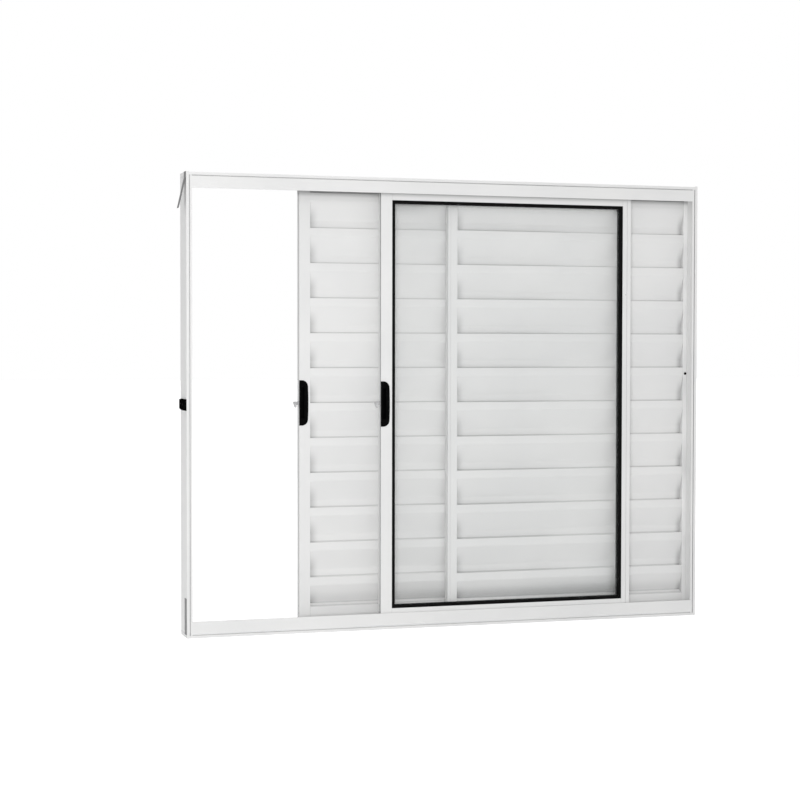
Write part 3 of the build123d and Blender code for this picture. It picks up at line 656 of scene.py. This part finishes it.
def slat_sheet(height):
    """A flat grid laid along the slat's section: hem, upright part, slope back, upright part."""
    length = slats.maths("ADD", height, slats.given("Hem"))
    grid = slats.node(
        "GeometryNodeMeshGrid",
        {},
        {
            "Size X": slats.given("Width"),
            "Size Y": length,
            "Vertices X": SLAT_COLUMNS,
            "Vertices Y": SLAT_ROWS,
        },
        output="Mesh",
    )
    place = slats.node("GeometryNodeInputPosition")
    across = slats.node("ShaderNodeSeparateXYZ", {}, {0: place}, output="X")
    along = slats.node("ShaderNodeSeparateXYZ", {}, {0: place}, output="Y")
    half_width = slats.maths("MULTIPLY", slats.given("Width"), 0.5)
    across = slats.maths("ADD", across, half_width)
    half_length = slats.maths("MULTIPLY", length, 0.5)
    from_edge = slats.maths("SUBTRACT", half_length, along)
    run = slats.maths("SUBTRACT", from_edge, slats.given("Hem"))
    depth = slats.maths("MAXIMUM", run, 0.0)
    hem = slats.maths("MAXIMUM", slats.maths("MULTIPLY", run, -1.0), 0.0)
    past = slats.maths("SUBTRACT", depth, slats.given("Upper"))
    share = slats.maths("DIVIDE", slats.given("Sweep"), slats.given("Slope"))
    back = slats.maths("MULTIPLY", past, share)
    back = slats.maths("SMOOTH_MIN", back, slats.given("Sweep"), slats.given("Bend"))
    back = slats.maths("SMOOTH_MAX", back, 0.0, slats.given("Bend"))
    down = slats.maths("MULTIPLY", depth, -1.0)
    bent = slats.vector(across, slats.maths("ADD", back, hem), down)
    front = slats.node("GeometryNodeSetPosition", {}, {"Geometry": grid, "Position": bent})
    thickness = slats.maths("MULTIPLY", slats.given("Sheet"), -1.0)
    rear = slats.node(
        "GeometryNodeExtrudeMesh",
        {},
        {"Mesh": front, "Offset Scale": thickness, "Individual": False},
        output="Mesh",
    )
    rear = slats.node("GeometryNodeFlipFaces", {}, {"Mesh": rear})
    both = slats.join(front, rear)
    return slats.node(
        "GeometryNodeMergeByDistance", {}, {"Geometry": both, "Distance": SLAT_WELD}
    )


count = slats.given("Count")
drop = slats.vector(z=slats.maths("MULTIPLY", slats.given("Pitch"), -1.0))
whole_count = slats.maths("SUBTRACT", count, 1.0)
first_corner = slats.given("First Corner")
spots = slats.node(
    "GeometryNodeMeshLine",
    {},
    {"Count": whole_count, "Start Location": first_corner, "Offset": drop},
)
whole = slats.node(
    "GeometryNodeInstanceOnPoints",
    {},
    {"Points": spots, "Instance": slat_sheet(slats.given("Height"))},
)
last_drop = slats.node(
    "ShaderNodeVectorMath", {"operation": "SCALE"}, {0: drop, "Scale": whole_count}
)
last_corner = slats.node(
    "ShaderNodeVectorMath", {"operation": "ADD"}, {0: first_corner, 1: last_drop}
)
last = slats.node(
    "GeometryNodeTransform",
    {},
    {"Geometry": slat_sheet(slats.given("Last Height")), "Translation": last_corner},
)
slats.end(slats.join(whole, last))

for leaf in ("sliding_leaf", "fixed_leaf"):
    low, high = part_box(leaf + "_slats")
    slat_piece = slats.make(
        leaf + "_louvre_slats",
        mesh_of("nothing", [(0, 0, 0)]),
        None,
        own_finishes[leaf + "_slats"],
        Count=SLAT_COUNT,
        Width=high.x - low.x,
        Pitch=SLAT_PITCH,
        Height=SLAT_HEIGHT,
        Last_Height=LAST_SLAT_SHOWN,
        Upper=SLAT_UPPER,
        Slope=SLAT_HEIGHT - SLAT_UPPER - SLAT_LOWER,
        Sweep=high.y - low.y - SLAT_SHEET,
        Hem=SLAT_HEM,
        Bend=SLAT_BEND,
        Sheet=SLAT_SHEET,
        First_Corner=(low.x, low.y, high.z),
    )
    smooth_faces(slat_piece)
    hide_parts(leaf + "_slats")


# Screws: pan heads with a cross recess

RECESS_LENGTH_SHARE = 1.1
RECESS_WIDTH_SHARE = 0.24
RECESS_LIFT_SHARE = 0.9
SCREW_WELD = 0.01 * MM

screws = Geometry("screw heads")
screws.size("Finish", "NodeSocketMaterial")
screws.size("Head Radius")
screws.size("Head Height")
screws.size("Turn", "NodeSocketVector")
spots = screws.start()
head_radius = screws.given("Head Radius")
head_height = screws.given("Head Height")
dome = screws.node(
    "GeometryNodeMeshUVSphere",
    {},
    {"Segments": 20, "Rings": 10, "Radius": head_radius},
    output="Mesh",
)
flat = screws.vector(1.0, 1.0, screws.maths("DIVIDE", head_height, head_radius))
dome = screws.node("GeometryNodeTransform", {}, {"Geometry": dome, "Scale": flat})
long_side = screws.maths("MULTIPLY", head_radius, RECESS_LENGTH_SHARE)
short_side = screws.maths("MULTIPLY", head_radius, RECESS_WIDTH_SHARE)
lift = screws.vector(z=screws.maths("MULTIPLY", head_height, RECESS_LIFT_SHARE))
bar_sizes = (
    screws.vector(long_side, short_side, head_height),
    screws.vector(short_side, long_side, head_height),
)
for bar_size in bar_sizes:
    bar = screws.node("GeometryNodeMeshCube", {}, {"Size": bar_size}, output="Mesh")
    bar = screws.node("GeometryNodeTransform", {}, {"Geometry": bar, "Translation": lift})
    dome = screws.node(
        "GeometryNodeMeshBoolean", {"operation": "DIFFERENCE", "solver": "EXACT"}, {0: dome, 1: bar}
    )
dome = screws.node("GeometryNodeMergeByDistance", {}, {"Geometry": dome, "Distance": SCREW_WELD})
placed = screws.node(
    "GeometryNodeInstanceOnPoints",
    {},
    {"Points": spots, "Instance": dome, "Rotation": screws.given("Turn")},
)
screws.end(placed)

QUARTER = math.pi / 2
FACE_LEFT = (0.0, -QUARTER, 0.0)
FACE_RIGHT = (0.0, QUARTER, 0.0)
FACE_ROOM = (QUARTER, 0.0, 0.0)


def screw_set(name, points, turn, radius, height, finish=screw_finish, slot_name="zinc_steel"):
    """Equal screws at the points, all turned the same way; height is how far a head stands out."""
    piece = screws.make(
        name,
        mesh_of(name, points),
        slot_name,
        finish,
        Head_Radius=radius,
        Head_Height=height,
        Turn=turn,
    )
    smooth_faces(piece)


jamb_low, jamb_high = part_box("left_jamb")
right_jamb_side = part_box("right_jamb")[1].x

# corner screws through the jambs' webs, clear of the straps
CORNER_SCREW_DEPTHS = (-8 * MM, 10 * MM, 28 * MM)
CORNER_SCREW_HEIGHTS = (jamb_low.z + 8 * MM, jamb_high.z - 10 * MM)
for side, x, turn in (("left", jamb_low.x, FACE_LEFT), ("right", right_jamb_side, FACE_RIGHT)):
    spots_here = [(x, y, z) for y in CORNER_SCREW_DEPTHS for z in CORNER_SCREW_HEIGHTS]
    screw_set(side + "_jamb_corner_screws", spots_here, turn, radius=3.2 * MM, height=0.9 * MM)

# rivets of the straps, flush with the box of the part
RIVET_SUNK = 0.6 * MM
RIVET_FROM_END = 12 * MM
strap_low, strap_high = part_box("anchor_strap_lower_left")
strap_middle = (strap_low.y + strap_high.y) / 2
for strap_name, turn in (
    ("anchor_strap_lower_left", FACE_LEFT),
    ("anchor_strap_lower_right", FACE_RIGHT),
    ("anchor_strap_upper_right", FACE_RIGHT),
):
    low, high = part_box(strap_name)
    x = low.x + RIVET_SUNK if turn is FACE_LEFT else high.x - RIVET_SUNK
    spots_here = [(x, strap_middle, z) for z in (low.z + RIVET_FROM_END, high.z - RIVET_FROM_END)]
    screw_set(strap_name + "_rivets", spots_here, turn, radius=2.4 * MM, height=RIVET_SUNK)

# keeper screws, on its outer face
KEEPER_SCREWS_ABOVE_MIDDLE = 1.6 * MM
KEEPER_SCREW_SHARES = (0.2, 0.8)
low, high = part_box("latch_keeper_box")
keeper_height = (low.z + high.z) / 2 + KEEPER_SCREWS_ABOVE_MIDDLE
keeper_depths = [low.y + share * (high.y - low.y) for share in KEEPER_SCREW_SHARES]
screw_set(
    "keeper_screws",
    [(low.x, y, keeper_height) for y in keeper_depths],
    FACE_LEFT,
    radius=2.2 * MM,
    height=0.6 * MM,
    finish=finishes["black_plastic"],
    slot_name="black_plastic",
)

# screws of the latches' plates, in line with the finger cups
CUP_MIDDLE = 7.6 * MM
LATCH_SCREW_SUNK = 0.1 * MM
LATCH_SCREW_FROM_END = 7.5 * MM
for leaf in ("glass_sash", "sliding_leaf"):
    low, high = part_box(leaf + "_latch")
    heights = (low.z + LATCH_SCREW_FROM_END, high.z - LATCH_SCREW_FROM_END)
    screw_set(
        leaf + "_latch_screws",
        [(low.x + CUP_MIDDLE, low.y + LATCH_SCREW_SUNK, z) for z in heights],
        FACE_ROOM,
        radius=2.3 * MM,
        height=0.5 * MM,
        finish=finishes["black_plastic"],
        slot_name="black_plastic",
    )

# screw on the face of the glass sash's right stile, and end screws of the leaves' leading stiles
SASH_SCREW_FROM_LEFT = 7.2 * MM
SASH_SCREW_HEIGHT = 747 * MM
END_SCREWS_FROM_FOOT = (26 * MM, 42 * MM)
END_SCREW_FROM_TOP = 12 * MM
low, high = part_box("glass_sash_right_stile")
screw_set(
    "sash_stile_screw",
    [(low.x + SASH_SCREW_FROM_LEFT, low.y, SASH_SCREW_HEIGHT)],
    FACE_ROOM,
    radius=1.6 * MM,
    height=0.4 * MM,
)
for leaf in ("glass_sash", "sliding_leaf"):
    low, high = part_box(leaf + "_left_stile")
    middle = (low.y + high.y) / 2
    heights = [low.z + distance for distance in END_SCREWS_FROM_FOOT]
    heights.append(high.z - END_SCREW_FROM_TOP)
    spots_here = [(low.x, middle, z) for z in heights]
    screw_set(
        leaf + "_stile_end_screws", spots_here, FACE_LEFT, radius=2.6 * MM, height=0.7 * MM
    )


# Pile seals: a woven backing with rows of tufts

PILE_WIDTH = 5 * MM
PILE_BACKING = 0.8 * MM
PILE_SEED = 7
ROWS_WIDTH_SHARE = 0.6
TUFT_ROWS = 3
TUFT_SIDES = 5
TUFT_TIP_SHARE = 0.35
TUFT_RADIUS = 0.55 * MM
TUFT_SPACING = 1.7 * MM
TUFT_LEAN = 0.16

pile = Geometry("pile seal")
pile.size("Finish", "NodeSocketMaterial")
pile.size("Turn", "NodeSocketVector")
pile.size("Foot", "NodeSocketVector")
for size_name in ("Length", "Width", "Backing", "Lean"):
    pile.size(size_name)
for size_name in ("Tuft Height", "Tuft Radius", "Tuft Spacing"):
    pile.size(size_name)
pile.start()
pile_length = pile.given("Length")
backing = pile.node(
    "GeometryNodeMeshCube",
    {},
    {"Size": pile.vector(pile.given("Width"), pile.given("Backing"), pile_length)},
    output="Mesh",
)
rows = pile.node(
    "GeometryNodeMeshGrid",
    {},
    {
        "Size X": pile.maths("MULTIPLY", pile.given("Width"), ROWS_WIDTH_SHARE),
        "Size Y": pile.maths("SUBTRACT", pile_length, pile.given("Tuft Spacing")),
        "Vertices X": TUFT_ROWS,
        "Vertices Y": pile.maths("DIVIDE", pile_length, pile.given("Tuft Spacing")),
    },
    output="Mesh",
)
rows = pile.node("GeometryNodeTransform", {}, {"Geometry": rows, "Rotation": (QUARTER, 0.0, 0.0)})
tuft = pile.node(
    "GeometryNodeMeshCone",
    {"fill_type": "NGON"},
    {
        "Vertices": TUFT_SIDES,
        "Radius Top": pile.maths("MULTIPLY", pile.given("Tuft Radius"), TUFT_TIP_SHARE),
        "Radius Bottom": pile.given("Tuft Radius"),
        "Depth": pile.given("Tuft Height"),
    },
    output="Mesh",
)
tuft_low = pile.node("GeometryNodeBoundBox", {}, {"Geometry": tuft}, output="Min")
rise = pile.node(
    "ShaderNodeVectorMath", {"operation": "MULTIPLY"}, {0: tuft_low, 1: (0.0, 0.0, -1.0)}
)
tuft = pile.node("GeometryNodeTransform", {}, {"Geometry": tuft, "Translation": rise})
lean = pile.given("Lean")
back_lean = pile.maths("MULTIPLY", lean, -1.0)
sway = pile.node(
    "FunctionNodeRandomValue",
    {"data_type": "FLOAT_VECTOR"},
    {
        0: pile.vector(pile.maths("SUBTRACT", QUARTER, lean), back_lean, back_lean),
        1: pile.vector(pile.maths("ADD", QUARTER, lean), lean, lean),
        "Seed": PILE_SEED,
    },
)
tufts = pile.node(
    "GeometryNodeInstanceOnPoints", {}, {"Points": rows, "Instance": tuft, "Rotation": sway}
)
seal = pile.node(
    "GeometryNodeTransform",
    {},
    {
        "Geometry": pile.join(backing, tufts),
        "Translation": pile.given("Foot"),
        "Rotation": pile.given("Turn"),
    },
)
pile.end(seal)


def pile_strip(name, foot, length, tuft_height, turn):
    """One brush seal. The foot is the middle of its backing; unturned, its tufts face the room."""
    pile.make(
        name,
        mesh_of("nothing", [(0, 0, 0)]),
        "grey_nylon",
        pile_finish,
        Length=length,
        Width=PILE_WIDTH,
        Backing=PILE_BACKING,
        Tuft_Height=tuft_height,
        Tuft_Radius=TUFT_RADIUS,
        Tuft_Spacing=TUFT_SPACING,
        Lean=TUFT_LEAN,
        Turn=turn,
        Foot=foot,
    )


# in the empty channels of the left jamb, where the leading stiles close
CHANNEL_DEPTHS = (-22 * MM, 0.0, 22 * MM)
CHANNEL_TUFT_HEIGHT = 3.2 * MM
JAMB_WEB = 1.4 * MM
PILE_END_GAP = 24 * MM
jamb_middle = (jamb_low.z + jamb_high.z) / 2
length = jamb_high.z - jamb_low.z - 2 * PILE_END_GAP
for number, y in enumerate(CHANNEL_DEPTHS):
    foot = (jamb_low.x + JAMB_WEB + PILE_BACKING / 2, y, jamb_middle)
    name = "left_jamb_pile_" + str(number + 1)
    pile_strip(name, foot, length, CHANNEL_TUFT_HEIGHT, turn=(0.0, 0.0, QUARTER))

# between the leaves: behind the sash's right stile and behind the fixed leaf's left stile
STILE_TUFT_HEIGHT = 3.4 * MM
for stile in ("glass_sash_right_stile", "fixed_leaf_left_stile"):
    low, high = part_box(stile)
    foot = ((low.x + high.x) / 2, high.y + PILE_BACKING / 2, (low.z + high.z) / 2)
    length = high.z - low.z - PILE_END_GAP
    pile_strip(stile + "_pile", foot, length, STILE_TUFT_HEIGHT, turn=(0.0, 0.0, math.pi))


# Stage: floor, world, lamps and camera


def seen_share(shader):
    """1 for what the camera sees by itself, in a gloss or through glass."""
    seen = shader.node("ShaderNodeLightPath", output="Is Camera Ray")
    for ray in ("Is Glossy Ray", "Is Transmission Ray"):
        seen = (seen + shader.node("ShaderNodeLightPath", output=ray)).clamp()
    return seen


FLOOR_REACH = 30.0
floor_corners = [
    (-FLOOR_REACH, -FLOOR_REACH, 0.0),
    (FLOOR_REACH, -FLOOR_REACH, 0.0),
    (FLOOR_REACH, FLOOR_REACH, 0.0),
    (-FLOOR_REACH, FLOOR_REACH, 0.0),
]
floor_mesh = mesh_of("floor", floor_corners, faces=[(0, 1, 2, 3)])
floor = bpy.data.objects.new("floor", floor_mesh)
bpy.context.scene.collection.objects.link(floor)

FLOOR_ALBEDO = rgb(0.88, 0.88, 0.88)
FLOOR_LIFT = 0.62
floor_shader = Shader("pale floor")
speckle = floor_shader.noise(scale=60.0, detail=2.0)
matt = floor_shader.node(
    "ShaderNodeBsdfDiffuse", {}, {"Color": FLOOR_ALBEDO, "Roughness": 0.4 + 0.2 * speckle}
)
lift_light = floor_shader.node(
    "ShaderNodeEmission",
    {},
    {"Color": PLAIN_WHITE, "Strength": seen_share(floor_shader) * FLOOR_LIFT},
)
both = floor_shader.node("ShaderNodeAddShader", {}, {0: matt, 1: lift_light})
floor_shader.node("ShaderNodeOutputMaterial", {}, {"Surface": both})
floor_mesh.materials.append(floor_shader.material)

world = bpy.data.worlds.new("studio")
bpy.context.scene.world = world
sky = Shader("studio", owner=world)
SKY_LIGHT = 0.63
SEEN_WHITE = 1.0
light_sky = sky.node("ShaderNodeBackground", {}, {"Color": PLAIN_WHITE, "Strength": SKY_LIGHT})
seen_sky = sky.node("ShaderNodeBackground", {}, {"Color": PLAIN_WHITE, "Strength": SEEN_WHITE})
chosen = sky.node("ShaderNodeMixShader", {}, {0: seen_share(sky), 1: light_sky, 2: seen_sky})
sky.node("ShaderNodeOutputWorld", {}, {"Surface": chosen})

MIDDLE = (0.0, 0.0, 0.5)


def soft_lamp(name, place, size, power):
    """A square softbox that faces the middle of the window."""
    light = bpy.data.lights.new(name, "AREA")
    light.shape = "SQUARE"
    light.size = size
    light.energy = power
    lamp = bpy.data.objects.new(name, light)
    bpy.context.scene.collection.objects.link(lamp)
    lamp.location = place
    lamp.rotation_euler = (Vector(MIDDLE) - Vector(place)).to_track_quat("-Z", "Y").to_euler()


soft_lamp("key softbox", (-1.25, -3.2, 0.55), size=0.9, power=45.0)
soft_lamp("back softbox", (0.6, 3.2, 2.2), size=2.0, power=20.0)

CAMERA_PLACE = (-1.2962, -3.8350, 0.6237)
CAMERA_TILT = math.radians(88.345)
CAMERA_YAW = math.radians(-17.159)
CAMERA_ROLL = math.radians(0.078)
CAMERA_SENSOR = 36.0
CAMERA_LENS = 80.87
camera_data = bpy.data.cameras.new("camera")
camera_data.sensor_width = CAMERA_SENSOR
camera_data.lens = CAMERA_LENS
camera = bpy.data.objects.new("camera", camera_data)
bpy.context.scene.collection.objects.link(camera)
camera.location = CAMERA_PLACE
camera_turn = Matrix.Rotation(CAMERA_YAW, 3, "Z") @ Matrix.Rotation(CAMERA_TILT, 3, "X")
camera.rotation_euler = (camera_turn @ Matrix.Rotation(CAMERA_ROLL, 3, "Z")).to_euler()
bpy.context.scene.camera = camera
bpy.context.scene.view_settings.view_transform = "Standard"
